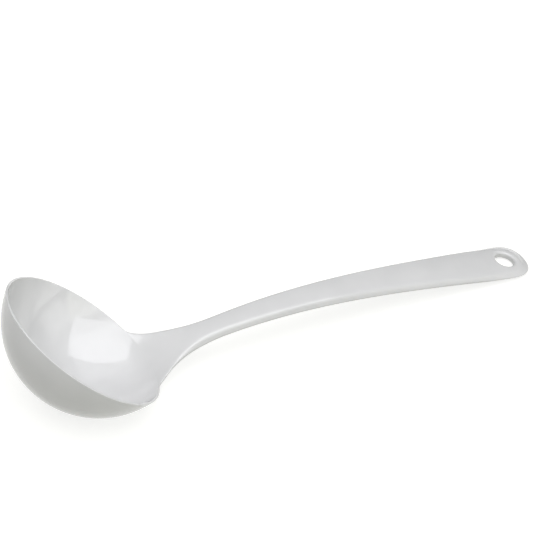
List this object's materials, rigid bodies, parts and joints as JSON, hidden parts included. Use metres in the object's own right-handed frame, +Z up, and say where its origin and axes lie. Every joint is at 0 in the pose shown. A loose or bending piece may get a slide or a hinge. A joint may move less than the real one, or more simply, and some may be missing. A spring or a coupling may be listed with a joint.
{
  "type": "sauce ladle",
  "caption": "White one-piece sauce ladle: a round bowl, a flared neck and a curved flat handle that widens to a hanging eye.",
  "frame": {"origin": "on the table, under the middle of the ladle's box as it lies at rest on its bowl and the tip of its handle", "axes": "+X from the bowl to the tip of the handle, +Y across, +Z up from the table"},
  "size_m": [0.232, 0.07, 0.0505],
  "materials": {
    "moulding": "glossy white moulded plastic"
  },
  "bodies": {
    "root": {"bowl": "moulding", "handle": "moulding"}
  },
  "joints": []
}
